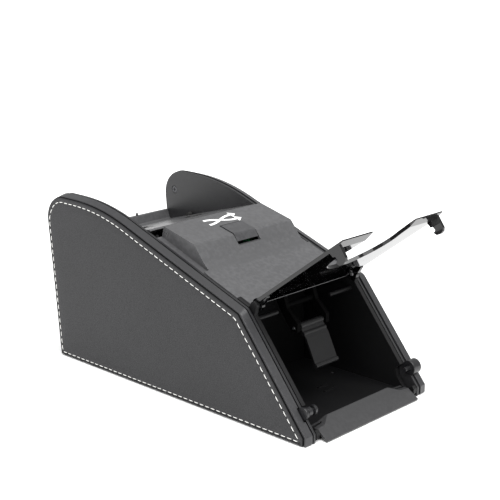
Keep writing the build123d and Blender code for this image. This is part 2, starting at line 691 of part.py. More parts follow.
def front_cover():
    """Dealing cover: a plate with a deep thumb notch, two hinge ears and two hooks."""
    top = -COVER_TOP
    section = polygon(in_cover(-2.6, top), in_cover(COVER_LENGTH, top),
                      in_cover(COVER_LENGTH, top + COVER_EDGE),
                      in_cover(COVER_BEVEL_START, COVER_INNER), in_cover(-2.6, COVER_INNER))
    plate = slab(section, -COVER_HALF, COVER_HALF) - thumb_notch()
    behind_lug = slab(polygon(in_cover(-4, -5), in_cover(0, -5), in_cover(0, 5), in_cover(-4, 5)),
                      EAR_OUT + 0.1, COVER_HALF + 1)
    plate -= both_sides(rod(HINGE, LUG_RADIUS + 0.6, EAR_OUT + 0.1, COVER_HALF + 1) + behind_lug)
    ear = rod(HINGE, EAR_RADIUS, EAR_IN, EAR_OUT)
    ear += slab(polygon(in_cover(-2.6, top), in_cover(12, top), in_cover(10, top + 3), in_cover(3.4, 2.4),
                        in_cover(-2.6, 2.0)), EAR_IN, EAR_OUT)
    hook = slab(hook_section(), HOOK_IN, HOOK_OUT)
    body = plate + both_sides(ear + hook)
    return body - both_sides(rod(HINGE, HINGE_PIN_RADIUS + RUNNING_GAP, 40, EAR_OUT + 0.1))


def hinge_pins():
    pin = rod(HINGE, HINGE_PIN_RADIUS, EAR_IN - 0.2, LINER_OUT - 0.2)
    pin = fillet(pin.edges().sort_by(Axis.X)[0], 0.5)
    return both_sides(pin)


def left_latch():
    """Turned pin that the cover's left hook drops behind."""
    end = rod(LATCH, LATCH_PIN_RADIUS, LATCH_END, HOOK_IN - 0.2)
    end = fillet(end.edges().sort_by(Axis.X)[0], 0.6)
    neck = rod(LATCH, LATCH_NECK_RADIUS, LATCH_END + 1, HOOK_OUT + 1)
    stem = rod(LATCH, LATCH_PIN_RADIUS, HOOK_OUT + 0.2, LATCH_SHOULDER)
    groove = rod(LATCH, LATCH_GROOVE_RADIUS, LATCH_SHOULDER, LATCH_FLANGE_IN)
    flange = rod(LATCH, LATCH_FLANGE_RADIUS, LATCH_FLANGE_IN, LATCH_FLANGE_OUT)
    flange = fillet(flange.edges().sort_by(Axis.X)[-1], 0.5)
    return end + neck + stem + groove + flange


def right_latch():
    """Round boss with a thin stud that the cover's right hook drops behind."""
    boss = rod(LATCH, CATCH_RADIUS, CATCH_IN, CATCH_OUT)
    boss = fillet(boss.edges().sort_by(Axis.X)[0], 0.5)
    return boss + rod(LATCH, LATCH_NECK_RADIUS, HOOK_IN - 0.4, CATCH_IN + 1)


# ================================================================ card flap
def card_flap():
    """Hinged flap that turns the arriving cards down on to the pack."""
    sheet = trace(Polyline(FLAP_PIVOT, FLAP_TOP, (43.6, 46.6), FLAP_FOOT), line_width=1.5)
    body = slab(sheet, -FLAP_HALF, FLAP_HALF)
    body += rod(FLAP_TOP, 1.5, -FLAP_HALF, FLAP_HALF)
    body += rod(FLAP_FOOT, 1.7, -FLAP_HALF, FLAP_HALF)
    body += rod(FLAP_PIVOT, 2.3, -FLAP_HALF, FLAP_HALF)
    return body - rod(FLAP_PIVOT, FLAP_PIN_RADIUS + RUNNING_GAP, -20, 20)


def flap_pin():
    return rod(FLAP_PIVOT, FLAP_PIN_RADIUS, -FLAP_ARM_X - 2.4, FLAP_ARM_X + 2.4)


def flap_bracket():
    """Two arms and a bar that hang the flap from the underside of the head."""
    root_y = 66.0
    arm = polygon((FLAP_PIVOT[0] - 2.8, FLAP_PIVOT[1] - 2.4), (FLAP_PIVOT[0] + 2.8, FLAP_PIVOT[1] - 2.4),
                  (60.5, 62.0), (root_y, 70.0), (root_y, slope_z(root_y) - HEAD_WALL - 0.1),
                  (59.5, slope_z(59.5) - HEAD_WALL - 0.1), (56.0, 66.0),
                  (FLAP_PIVOT[0] - 2.8, FLAP_PIVOT[1] + 3.6))
    arm_solid = slab(arm, FLAP_ARM_X - 1.6, FLAP_ARM_X + 1.6)
    bar = rod((59.5, 66.5), 1.8, -FLAP_ARM_X, FLAP_ARM_X)
    return both_sides(arm_solid) + bar - rod(FLAP_PIVOT, FLAP_PIN_RADIUS, -30, 30)


# ================================================================ drive
def gear_face(teeth, phase):
    """Involute spur gear outline centred on the origin; phase turns it, in radians."""
    pitch = MODULE * teeth / 2
    base = pitch * cos(PRESSURE_ANGLE)
    root = pitch - 1.2 * MODULE
    tip = pitch + 0.95 * MODULE

    def half_angle(radius):
        angle = acos(base / radius) if radius > base else 0.0
        spread = (tan(PRESSURE_ANGLE) - PRESSURE_ANGLE) - (tan(angle) - angle)
        return pi / (2 * teeth) - BACKLASH / (2 * pitch) + spread

    low = max(root, base)
    radii = [low + (tip - low) * share for share in (0.0, 0.35, 0.7, 1.0)]
    flank = [(root, half_angle(low))] if root < low - 0.05 else []
    flank += [(radius, half_angle(radius)) for radius in radii]
    points = []
    for tooth in range(teeth):
        middle = phase + 2 * pi * tooth / teeth
        points += [(r * cos(middle - a), r * sin(middle - a)) for r, a in flank]
        points += [(r * cos(middle + a), r * sin(middle + a)) for r, a in reversed(flank)]
    return polygon(*points)


def gear(centre, teeth, phase, x_low, x_high):
    return slab(Pos(*centre) * gear_face(teeth, phase), x_low, x_high)


def meshed_phase(centre_a, teeth_a, phase_a, centre_b, teeth_b):
    """Phase that puts a gap of gear b opposite a tooth of gear a."""
    line = atan2(centre_b[1] - centre_a[1], centre_b[0] - centre_a[0])
    tooth_share = (line - phase_a) * teeth_a / (2 * pi)
    return line + pi - (2 * pi / teeth_b) * (0.5 - tooth_share)


def between(centre_a, reach_a, centre_b, reach_b):
    """Lower of the two points at the given distances from two centres."""
    dy = centre_b[0] - centre_a[0]
    dz = centre_b[1] - centre_a[1]
    span = hypot(dy, dz)
    along = (reach_a ** 2 - reach_b ** 2 + span ** 2) / (2 * span)
    across = (reach_a ** 2 - along ** 2) ** 0.5
    foot = (centre_a[0] + dy * along / span, centre_a[1] + dz * along / span)
    return (foot[0] + across * dz / span, foot[1] - across * dy / span)


IDLER_SHAFT = between(EXIT_SHAFT, MODULE * (EXIT_TEETH + IDLER_TEETH) / 2,
                      FEED_SHAFT, MODULE * (FEED_TEETH + IDLER_TEETH) / 2)
COMPOUND_REACH = MODULE * (IDLER_TEETH + COMPOUND_SMALL) / 2
COMPOUND_SHAFT = (IDLER_SHAFT[0] + COMPOUND_REACH * cos(COMPOUND_ANGLE),
                  IDLER_SHAFT[1] + COMPOUND_REACH * sin(COMPOUND_ANGLE))
MOTOR_REACH = MODULE * (COMPOUND_LARGE + PINION_TEETH) / 2
MOTOR_SHAFT = (COMPOUND_SHAFT[0] + MOTOR_REACH * cos(MOTOR_ANGLE),
               COMPOUND_SHAFT[1] + MOTOR_REACH * sin(MOTOR_ANGLE))
IDLER_PHASE = meshed_phase(FEED_SHAFT, FEED_TEETH, FEED_PHASE, IDLER_SHAFT, IDLER_TEETH)
EXIT_PHASE = meshed_phase(IDLER_SHAFT, IDLER_TEETH, IDLER_PHASE, EXIT_SHAFT, EXIT_TEETH)
SMALL_PHASE = meshed_phase(IDLER_SHAFT, IDLER_TEETH, IDLER_PHASE, COMPOUND_SHAFT, COMPOUND_SMALL)
LARGE_PHASE = SMALL_PHASE
PINION_PHASE = meshed_phase(COMPOUND_SHAFT, COMPOUND_LARGE, LARGE_PHASE, MOTOR_SHAFT, PINION_TEETH)


def gear_layer(layer):
    """x range of a gear layer: 0 beside the side wall, 1 next to the gear plate."""
    near_plate = -PLATE_OUT - 0.5
    half = (near_plate + LINER_OUT) / 2
    x_high = near_plate - half if layer == 0 else near_plate
    return (x_high - half + 0.3, x_high)


def feed_gear():
    low, high = gear_layer(1)
    return gear(FEED_SHAFT, FEED_TEETH, FEED_PHASE, low, high) - rod(FEED_SHAFT, SHAFT_RADIUS, -60, 0)


def exit_gear():
    low, high = gear_layer(1)
    return gear(EXIT_SHAFT, EXIT_TEETH, EXIT_PHASE, low, high) - rod(EXIT_SHAFT, SHAFT_RADIUS, -60, 0)


def idler_gear():
    low, high = gear_layer(1)
    body = gear(IDLER_SHAFT, IDLER_TEETH, IDLER_PHASE, low, high)
    return body - rod(IDLER_SHAFT, GEAR_PIN_RADIUS + RUNNING_GAP, -60, 0)


def compound_gear():
    outer_low, outer_high = gear_layer(0)
    low, high = gear_layer(1)
    body = gear(COMPOUND_SHAFT, COMPOUND_LARGE, LARGE_PHASE, outer_low, outer_high)
    body += gear(COMPOUND_SHAFT, COMPOUND_SMALL, SMALL_PHASE, outer_high, high)
    return body - rod(COMPOUND_SHAFT, GEAR_PIN_RADIUS + RUNNING_GAP, -60, 0)


def motor_pinion():
    low, high = gear_layer(0)
    body = gear(MOTOR_SHAFT, PINION_TEETH, PINION_PHASE, low, high)
    return body - rod(MOTOR_SHAFT, MOTOR_SHAFT_RADIUS, -60, 0)


def motor_shaft():
    low, _ = gear_layer(0)
    return rod(MOTOR_SHAFT, MOTOR_SHAFT_RADIUS, low, -PLATE_IN + 3.0)


def motor_can():
    """Small brushed motor with two flats, bolted to the gear plate."""
    low = -PLATE_IN + 0.1
    can = rod(MOTOR_SHAFT, MOTOR_RADIUS, low, low + MOTOR_LENGTH)
    y, z = MOTOR_SHAFT
    can &= block(low - 1, low + MOTOR_LENGTH + 1, y - 20, y + 20, z - MOTOR_FLAT, z + MOTOR_FLAT)
    boss = rod(MOTOR_SHAFT, 3.0, low + MOTOR_LENGTH, low + MOTOR_LENGTH + 2.0)
    tabs = block(low + MOTOR_LENGTH, low + MOTOR_LENGTH + 4, y - 7, y - 6.4, z - 1.5, z + 1.5)
    tabs += block(low + MOTOR_LENGTH, low + MOTOR_LENGTH + 4, y + 6.4, y + 7, z - 1.5, z + 1.5)
    bore = rod(MOTOR_SHAFT, MOTOR_SHAFT_RADIUS + RUNNING_GAP, low - 1, -PLATE_IN + 3.2)
    return can + boss + tabs - bore


def gear_pins():
    low, high = gear_layer(0)
    idler_low, _ = gear_layer(1)
    idler = rod(IDLER_SHAFT, GEAR_PIN_RADIUS, idler_low - 0.3, -PLATE_IN)
    compound = rod(COMPOUND_SHAFT, GEAR_PIN_RADIUS, low, -PLATE_IN)
    return group([idler, compound])


def gear_plate():
    """Upright plate that carries the shafts; the left one also carries the gears."""
    outline = polygon((126, BASE_TOP + 1.4), (206, BASE_TOP + 1.4), (206, ramp_z(206) - 5),
                      (150, ramp_z(150) - 5), (147, 100), (130, 98.8), (126, 84))
    foot = block(PLATE_IN - 7, PLATE_OUT, 127, 205, BASE_TOP + PART_GAP, BASE_TOP + PART_GAP + 2)
    plate = slab(outline, PLATE_IN, PLATE_OUT) + foot
    for y in BASE_SCREW_ROWS[1:]:
        plate -= Pos(BASE_SCREW_X, y, BASE_TOP) * Cylinder(SCREW_SHANK_RADIUS, 4)
    for shaft in (FEED_SHAFT, EXIT_SHAFT):
        plate -= rod(shaft, BUSH_RADIUS, 0, 60)
    return plate


def left_gear_plate():
    plate = mirror(gear_plate(), about=Plane.YZ)
    plate -= rod(IDLER_SHAFT, GEAR_PIN_RADIUS, -60, 0)
    plate -= rod(COMPOUND_SHAFT, GEAR_PIN_RADIUS, -60, 0)
    return plate - rod(MOTOR_SHAFT, 3.2, -60, 0)


def shaft_bushes():
    bushes = []
    for shaft in (FEED_SHAFT, EXIT_SHAFT):
        sleeve = rod(shaft, BUSH_RADIUS, PLATE_IN, PLATE_OUT)
        flange = rod(shaft, BUSH_RADIUS + 1.0, PLATE_IN - 0.8, PLATE_IN)
        bushes.append(both_sides(sleeve + flange - rod(shaft, SHAFT_RADIUS + RUNNING_GAP, 0, 60)))
    return group(bushes)


def roller_shaft(centre):
    low, _ = gear_layer(1)
    return rod(centre, SHAFT_RADIUS, low, PLATE_OUT + 1.6)


def tyres(centre, radius, core):
    """Two rubber tyres; each is grooved so that it grips a card."""
    rings = []
    for x in TYRE_CENTRES:
        ring = rod(centre, radius, x - TYRE_WIDTH / 2, x + TYRE_WIDTH / 2)
        for groove_x in (x - TYRE_WIDTH / 4, x, x + TYRE_WIDTH / 4):
            ring -= rod(centre, radius + 1, groove_x - 0.4, groove_x + 0.4) - rod(
                centre, radius - 0.6, groove_x - 1, groove_x + 1)
        rings.append(ring - rod(centre, core, x - 20, x + 20))
    return group(rings)


def hubs(centre, core):
    rings = [rod(centre, core, x - TYRE_WIDTH / 2, x + TYRE_WIDTH / 2)
             - rod(centre, SHAFT_RADIUS, x - 20, x + 20) for x in TYRE_CENTRES]
    return group(rings)


def nip_shaft():
    reach = HEAD_HALF - 0.2
    return rod(NIP_SHAFT, NIP_SHAFT_RADIUS, -reach, reach)


def nip_tyres():
    rings = [rod(NIP_SHAFT, NIP_TYRE_RADIUS, x - 4, x + 4) - rod(NIP_SHAFT, NIP_SHAFT_RADIUS, x - 9, x + 9)
             for x in TYRE_CENTRES]
    return group(rings)


# ================================================================ writing the parts
def on_left(shape):
    return mirror(shape, about=Plane.YZ)


def side_parts():
    """The mirrored side pieces; only the latches and their seats differ left from right."""
    frame = side_frame()
    wall = inner_wall()
    leather = leather_panel()
    return {
        "left_side_frame": on_left(frame - left_latch_seat()),
        "right_side_frame": frame - right_latch_seat(),
        "left_leather_panel": on_left(leather),
        "right_leather_panel": leather,
        "left_inner_wall": on_left(wall - left_latch_seat()),
        "right_inner_wall": wall - right_latch_seat(),
        "left_latch_pin": on_left(left_latch()),
        "right_latch_pin": right_latch(),
    }


def all_parts():
    parts = side_parts()
    parts.update({
        "side_screws": both_sides(side_screw()),
        "base_plate": base_plate(),
        "base_screws": base_screws(),
        "rubber_feet": rubber_feet(),
        "card_chamber": card_chamber(),
        "chamber_back": chamber_back(),
        "front_lip": front_lip(),
        "rear_tray": rear_tray(),
        "tray_bumpers": tray_bumpers(),
        "rear_panel": rear_panel(),
        "head_cover": head_cover(),
        "shuffle_button": shuffle_button(),
        "button_spring": button_spring(),
        "switch_board": switch_board(),
        "push_switch": push_switch(),
        "board_posts": board_posts(),
        "front_cover": front_cover(),
        "cover_hinge_pins": hinge_pins(),
        "card_flap": card_flap(),
        "flap_pin": flap_pin(),
        "flap_bracket": flap_bracket(),
        "left_gear_plate": left_gear_plate(),
        "right_gear_plate": gear_plate(),
        "shaft_bushes": shaft_bushes(),
        "feed_shaft": roller_shaft(FEED_SHAFT),
        "feed_hubs": hubs(FEED_SHAFT, 8.0),
        "feed_tyres": tyres(FEED_SHAFT, FEED_TYRE_RADIUS, 8.0),
        "feed_gear": feed_gear(),
        "exit_shaft": roller_shaft(EXIT_SHAFT),
        "exit_hubs": hubs(EXIT_SHAFT, 6.5),
        "exit_tyres": tyres(EXIT_SHAFT, EXIT_TYRE_RADIUS, 6.5),
        "exit_gear": exit_gear(),
        "nip_shaft": nip_shaft(),
        "nip_tyres": nip_tyres(),
        "idler_gear": idler_gear(),
        "compound_gear": compound_gear(),
        "gear_pins": gear_pins(),
        "motor_can": motor_can(),
        "motor_shaft": motor_shaft(),
        "motor_pinion": motor_pinion(),
        "battery_tray": battery_tray(),
        "batteries": batteries(),
        "battery_contacts": battery_contacts(),
        "battery_door": battery_door(),
    })
    return parts


os.makedirs("parts", exist_ok=True)
for node, shape in all_parts().items():
    export_step(Pos(0, -ORIGIN_Y, 0) * shape, f"parts/{node}.step")
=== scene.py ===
"""Looks for the automatic card shuffler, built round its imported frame."""

import json
import math
import random

import bmesh
import bpy
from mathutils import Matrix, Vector


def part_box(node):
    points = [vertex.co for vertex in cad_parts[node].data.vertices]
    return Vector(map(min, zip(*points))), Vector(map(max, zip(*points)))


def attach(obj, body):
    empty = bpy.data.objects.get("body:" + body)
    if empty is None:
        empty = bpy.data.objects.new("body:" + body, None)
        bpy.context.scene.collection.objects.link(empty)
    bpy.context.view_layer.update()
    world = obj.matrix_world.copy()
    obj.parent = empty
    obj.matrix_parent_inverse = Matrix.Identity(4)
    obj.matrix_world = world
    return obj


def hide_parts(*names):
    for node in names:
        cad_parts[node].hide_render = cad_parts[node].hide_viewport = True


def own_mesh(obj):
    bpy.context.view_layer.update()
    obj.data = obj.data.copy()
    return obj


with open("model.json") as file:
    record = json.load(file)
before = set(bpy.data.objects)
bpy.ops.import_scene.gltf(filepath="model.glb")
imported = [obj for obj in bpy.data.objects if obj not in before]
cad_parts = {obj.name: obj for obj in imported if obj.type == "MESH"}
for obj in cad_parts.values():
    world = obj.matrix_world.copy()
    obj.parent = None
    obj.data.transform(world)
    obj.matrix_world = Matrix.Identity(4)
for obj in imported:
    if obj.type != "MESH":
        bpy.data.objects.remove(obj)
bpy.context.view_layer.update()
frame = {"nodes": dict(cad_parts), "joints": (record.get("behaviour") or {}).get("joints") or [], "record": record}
random.seed(7)

MM = 0.001
BODY = "housing"

# camera, matched to the view of the object from its front left
CAMERA_AT = (-0.5732, -0.55628, 0.3109)
CAMERA_AZIMUTH = -46.36
CAMERA_ELEVATION = 15.37
SENSOR_MM = 36.0
LENS_MM = 86.47

# soft light: azimuth, elevation, angular size in degrees, strength
WORLD_STRENGTH = 0.6
SUNS = {"overhead": (10.0, 66.0, 60.0, 4.6), "left_side": (75.0, 38.0, 40.0, 1.3)}

# stitched leather sides
LEATHER_EDGE = ((0.0, 0.0), (0.0, 0.45), (0.12, 0.85), (0.42, 1.16), (0.95, 1.36), (1.5, 1.4))
CHANNEL = ((-1.0, 1.4), (-0.55, 1.3), (0.0, 1.12), (0.55, 1.3), (1.1, 1.4))
INNER_RINGS = (0.9, 0.7, 0.45, 0.2)
RING_STEP = math.radians(1.2)
SEAM_FROM_FOOT = 2.3 * MM
SEAM_EXTRA_AT_TOP = 1.4 * MM
STITCH_PITCH = 5.15 * MM
STITCH_LENGTH = 4.15 * MM
STITCH_WIDTH = 0.58 * MM
STITCH_HEIGHT = 0.5 * MM
STITCH_SEAT = 0.42 * MM
STITCH_BASE = 0.87 * MM
STITCH_SLANT = 0.12 * MM
STITCH_SIDES = 8
STITCH_STEPS = 8

# leatherette tones, hollows and raised grain
LEATHER_LOW = (0.0105, 0.0105, 0.0115)
LEATHER_HIGH = (0.0185, 0.0185, 0.02)
LEATHER_SPECULAR = 0.42

# pictogram on the head
ICON_WIDTH = 31.0 * MM
ICON_DEPTH = 8.4 * MM
ICON_LINE = 1.9 * MM
ICON_LIFT = 0.06 * MM
ICON_SINK = 0.01 * MM
ICON_TIP = 5.0 * MM
ICON_STEPS = 32
ICON_FROM_REAR = 9.0 * MM
ICON_X = -0.5 * MM

# return spring under the button
SPRING_TURNS = 5
SPRING_WIRE = 0.28 * MM
SPRING_WIRE_SIDES = 6
SPRING_TURN_STEPS = 20
FLOOR_HALF = 9.0


# ---------------------------------------------------------------- materials
def material(name):
    """A new node material: returns it, its node tree and its principled shader."""
    made = bpy.data.materials.new(name)
    made.use_nodes = True
    tree = made.node_tree
    shader = next(n for n in tree.nodes if n.type == "BSDF_PRINCIPLED")
    return made, tree, shader


def node(tree, kind, **values):
    """Add a node and set its inputs by name, or its own properties where it has no such input."""
    made = tree.nodes.new(kind)
    for key, value in values.items():
        label = key.replace("_", " ").title() if key not in made.inputs else key
        if label in made.inputs:
            made.inputs[label].default_value = value
        else:
            setattr(made, key, value)
    return made


def object_place(tree, stretch=(1.0, 1.0, 1.0)):
    """Object coordinates in millimetres, stretched if asked."""
    place = tree.nodes.new("ShaderNodeTexCoord")
    scale = tree.nodes.new("ShaderNodeMapping")
    scale.inputs["Scale"].default_value = [s / MM for s in stretch]
    tree.links.new(place.outputs["Object"], scale.inputs["Vector"])
    return scale.outputs["Vector"]


def noise(tree, place, scale, detail=3.0, roughness=0.55):
    made = node(tree, "ShaderNodeTexNoise", scale=scale, detail=detail, roughness=roughness)
    tree.links.new(place, made.inputs["Vector"])
    return made.outputs["Fac"]


def spread(tree, value, low, high, out_low, out_high):
    """Map a value from one range to another, clamped."""
    made = tree.nodes.new("ShaderNodeMapRange")
    for key, number in (("From Min", low), ("From Max", high), ("To Min", out_low), ("To Max", out_high)):
        made.inputs[key].default_value = number
    tree.links.new(value, made.inputs["Value"])
    return made.outputs["Result"]


def feed(tree, socket, value):
    """Link a node's output to a socket, or set the socket to a constant."""
    if isinstance(value, bpy.types.NodeSocket):
        tree.links.new(value, socket)
    else:
        socket.default_value = value


def math_node(tree, operation, a, b):
    made = tree.nodes.new("ShaderNodeMath")
    made.operation = operation
    feed(tree, made.inputs[0], a)
    feed(tree, made.inputs[1], b)
    return made.outputs["Value"]


def blend(tree, kind, first, second, share=1.0):
    """Combine two colours by a blend kind."""
    made = tree.nodes.new("ShaderNodeMix")
    made.data_type = "RGBA"
    made.blend_type = kind
    for label, value in (("Factor", share), ("A", first), ("B", second)):
        feed(tree, made.inputs[label], value)
    return made.outputs["Result"]


def mix_colour(tree, share, colour_a, colour_b):
    return blend(tree, "MIX", (*colour_a, 1.0), (*colour_b, 1.0), share)


def bump(tree, shader, height, strength, distance, edge=0.0):
    """Bump on the shader, over softly rounded edges when edge is a radius in metres."""
    made = tree.nodes.new("ShaderNodeBump")
    made.inputs["Strength"].default_value = strength
    made.inputs["Distance"].default_value = distance
    tree.links.new(height, made.inputs["Height"])
    if edge:
        soft = tree.nodes.new("ShaderNodeBevel")
        soft.samples = 4
        soft.inputs["Radius"].default_value = edge
        tree.links.new(soft.outputs["Normal"], made.inputs["Normal"])
    tree.links.new(made.outputs["Normal"], shader.inputs["Normal"])


def worn_share(tree, place, low, high):
    """Share of rubbed colour: strongest along convex edges, broken up by noise."""
    geometry = tree.nodes.new("ShaderNodeNewGeometry")
    edge = spread(tree, geometry.outputs["Pointiness"], low, high, 0.0, 1.0)
    patches = spread(tree, noise(tree, place, 0.35, 4.0), 0.42, 0.62, 0.1, 0.8)
    return math_node(tree, "MULTIPLY", edge, patches)


def plastic(name, colour, rough, grain=1.0, fine=3.2, edge=0.25 * MM, worn=1.45, specular=0.5):
    """Moulded plastic: spark-eroded grain, faint handling marks and lightly rubbed edges."""
    made, tree, shader = material(name)
    place = object_place(tree)
    clouds = spread(tree, noise(tree, place, 0.045, 4.0), 0.3, 0.7, 0.0, 1.0)
    tint = mix_colour(tree, clouds, [c * 0.97 for c in colour], colour)
    rub = mix_colour(tree, worn_share(tree, place, 0.53, 0.62), (0, 0, 0), [c * (worn - 1) for c in colour])
    tree.links.new(blend(tree, "ADD", tint, rub), shader.inputs["Base Color"])
    smear = noise(tree, object_place(tree, (1.0, 0.35, 1.0)), 0.12, 5.0, 0.65)
    tree.links.new(spread(tree, smear, 0.3, 0.7, rough - 0.015, rough + 0.025), shader.inputs["Roughness"])
    shader.inputs["Specular IOR Level"].default_value = specular
    bump(tree, shader, noise(tree, place, fine, 2.0), 0.16 * grain, 0.06 * MM, edge)
    return made


def painted_edge_shade_share(tree):
    """1 where the surface faces out to the side, falling off round the panel's edge: the mask for the painted
    shade on the leather's rolled edge.
    """
    facing = tree.nodes.new("ShaderNodeNewGeometry")
    parts = tree.nodes.new("ShaderNodeSeparateXYZ")
    tree.links.new(facing.outputs["Normal"], parts.inputs["Vector"])
    return spread(tree, math_node(tree, "ABSOLUTE", parts.outputs["X"], 0.0), 0.5, 0.98, 0.12, 1.0)


def pebble_height(tree, place):
    """Height of the grain: rounded cells of uneven shape, with fine creases over them."""
    warp = tree.nodes.new("ShaderNodeVectorMath")
    warp.operation = "ADD"
    shift = node(tree, "ShaderNodeTexNoise", scale=0.5, detail=2.0)
    tree.links.new(place, shift.inputs["Vector"])
    tree.links.new(place, warp.inputs[0])
    tree.links.new(shift.outputs["Color"], warp.inputs[1])
    cells = node(tree, "ShaderNodeTexVoronoi", scale=0.95)
    cells.feature = "DISTANCE_TO_EDGE"
    tree.links.new(warp.outputs["Vector"], cells.inputs["Vector"])
    pebble = spread(tree, cells.outputs["Distance"], 0.0, 0.28, 0.0, 1.0)
    creases = noise(tree, place, 1.7, 5.0, 0.7)
    return math_node(tree, "ADD", pebble, math_node(tree, "MULTIPLY", creases, 0.55))


def leather(name):
    """Leatherette: pebbled grain, greyer where it is raised, with painted shade darkening its rolled edge, which
    is also duller.
    """
    made, tree, shader = material(name)
    place = object_place(tree)
    height = pebble_height(tree, place)
    tone = mix_colour(tree, spread(tree, height, 0.2, 1.35, 0.0, 1.0), LEATHER_LOW, LEATHER_HIGH)
    drift = spread(tree, noise(tree, place, 0.02, 3.0), 0.3, 0.7, 0.0, 1.0)
    tint = mix_colour(tree, drift, (0.9, 0.9, 0.9), (1.12, 1.12, 1.12))
    # painted shade: the colour is mixed towards black round the rolled edge, where the panel turns away from the
    # side, and the specular level falls there too
    flat = painted_edge_shade_share(tree)
    colour = blend(tree, "MIX", (0.0, 0.0, 0.0, 1.0), blend(tree, "MULTIPLY", tone, tint), flat)
    tree.links.new(colour, shader.inputs["Base Color"])
    tree.links.new(math_node(tree, "MULTIPLY", flat, LEATHER_SPECULAR), shader.inputs["Specular IOR Level"])
    tree.links.new(spread(tree, height, 0.2, 1.4, 0.62, 0.5), shader.inputs["Roughness"])
    bump(tree, shader, height, 0.3, 0.12 * MM)
    return made


def thread(name):
    """White waxed thread with its two plies twisted together."""
    made, tree, shader = material(name)
    place = object_place(tree)
    twist = node(tree, "ShaderNodeTexWave", scale=0.55, distortion=1.2, detail=2.0)
    twist.bands_direction = "DIAGONAL"
    tree.links.new(place, twist.inputs["Vector"])
    ply = twist.outputs["Fac"]
    tree.links.new(mix_colour(tree, ply, (0.62, 0.61, 0.58), (0.86, 0.86, 0.84)), shader.inputs["Base Color"])
    shader.inputs["Roughness"].default_value = 0.62
    shader.inputs["Sheen Weight"].default_value = 0.25
    bump(tree, shader, ply, 0.5, 0.08 * MM)
    return made


def acrylic(name):
    """Polished black acrylic with faint wipe marks."""
    made, tree, shader = material(name)
    place = object_place(tree, (1.0, 0.25, 1.0))
    haze = noise(tree, place, 0.09, 6.0, 0.7)
    shader.inputs["Base Color"].default_value = (0.002, 0.002, 0.0022, 1.0)
    tree.links.new(spread(tree, haze, 0.35, 0.75, 0.05, 0.12), shader.inputs["Roughness"])
    shader.inputs["IOR"].default_value = 1.5
    bump(tree, shader, noise(tree, place, 0.05, 2.0), 0.05, 0.3 * MM)
    return made


def rubber(name):
    """Matt black rubber with a little dust."""
    made, tree, shader = material(name)
    place = object_place(tree)
    dust = spread(tree, noise(tree, place, 0.6, 4.0, 0.7), 0.4, 0.8, 0.0, 1.0)
    colour = mix_colour(tree, dust, (0.013, 0.013, 0.013), (0.035, 0.034, 0.032))
    tree.links.new(colour, shader.inputs["Base Color"])
    shader.inputs["Roughness"].default_value = 0.78
    shader.inputs["Specular IOR Level"].default_value = 0.3
    bump(tree, shader, noise(tree, place, 4.0, 3.0), 0.25, 0.08 * MM, 0.15 * MM)
    return made


def metal(name, colour, rough, stretch=(0.15, 3.0, 3.0)):
    """Bare metal with fine drawn or turned marks along X."""
    made, tree, shader = material(name)
    marks = noise(tree, object_place(tree, stretch), 2.2, 5.0, 0.7)
    tree.links.new(mix_colour(tree, marks, [c * 0.8 for c in colour], colour), shader.inputs["Base Color"])
    tree.links.new(spread(tree, marks, 0.3, 0.7, rough - 0.06, rough + 0.08), shader.inputs["Roughness"])
    shader.inputs["Metallic"].default_value = 1.0
    bump(tree, shader, marks, 0.12, 0.03 * MM, 0.12 * MM)
    return made


def wrapped_cell(name):
    """Plain wrapped battery cell with a pale band and no lettering."""
    made, tree, shader = material(name)
    place = tree.nodes.new("ShaderNodeTexCoord")
    parts = tree.nodes.new("ShaderNodeSeparateXYZ")
    tree.links.new(place.outputs["Object"], parts.inputs["Vector"])
    away = math_node(tree, "ABSOLUTE", parts.outputs["X"], 0.0)
    band = math_node(tree, "GREATER_THAN", away, 0.016)
    tree.links.new(mix_colour(tree, band, (0.03, 0.07, 0.2), (0.55, 0.42, 0.2)), shader.inputs["Base Color"])
    shader.inputs["Roughness"].default_value = 0.28
    shader.inputs["Metallic"].default_value = 0.35
    bump(tree, shader, noise(tree, object_place(tree), 0.8, 3.0), 0.06, 0.05 * MM)
    return made


def laminate(name):
    """Green circuit board with its woven glass showing faintly."""
    made, tree, shader = material(name)
    place = object_place(tree)
    weave = node(tree, "ShaderNodeTexChecker", scale=1.6)
    tree.links.new(place, weave.inputs["Vector"])
    tree.links.new(mix_colour(tree, weave.outputs["Fac"], (0.012, 0.09, 0.03), (0.016, 0.11, 0.038)),
                   shader.inputs["Base Color"])
    shader.inputs["Roughness"].default_value = 0.35
    bump(tree, shader, weave.outputs["Fac"], 0.1, 0.02 * MM)
    return made


def ink(name):
    """Screen-printed white ink, a little uneven at its coverage."""
    made, tree, shader = material(name)
    place = object_place(tree)
    cover = noise(tree, place, 1.5, 4.0)
    colour = mix_colour(tree, spread(tree, cover, 0.25, 0.6, 0.0, 1.0), (0.7, 0.7, 0.7), (0.9, 0.9, 0.89))
    tree.links.new(colour, shader.inputs["Base Color"])
    shader.inputs["Roughness"].default_value = 0.5
    bump(tree, shader, cover, 0.1, 0.02 * MM)
    return made


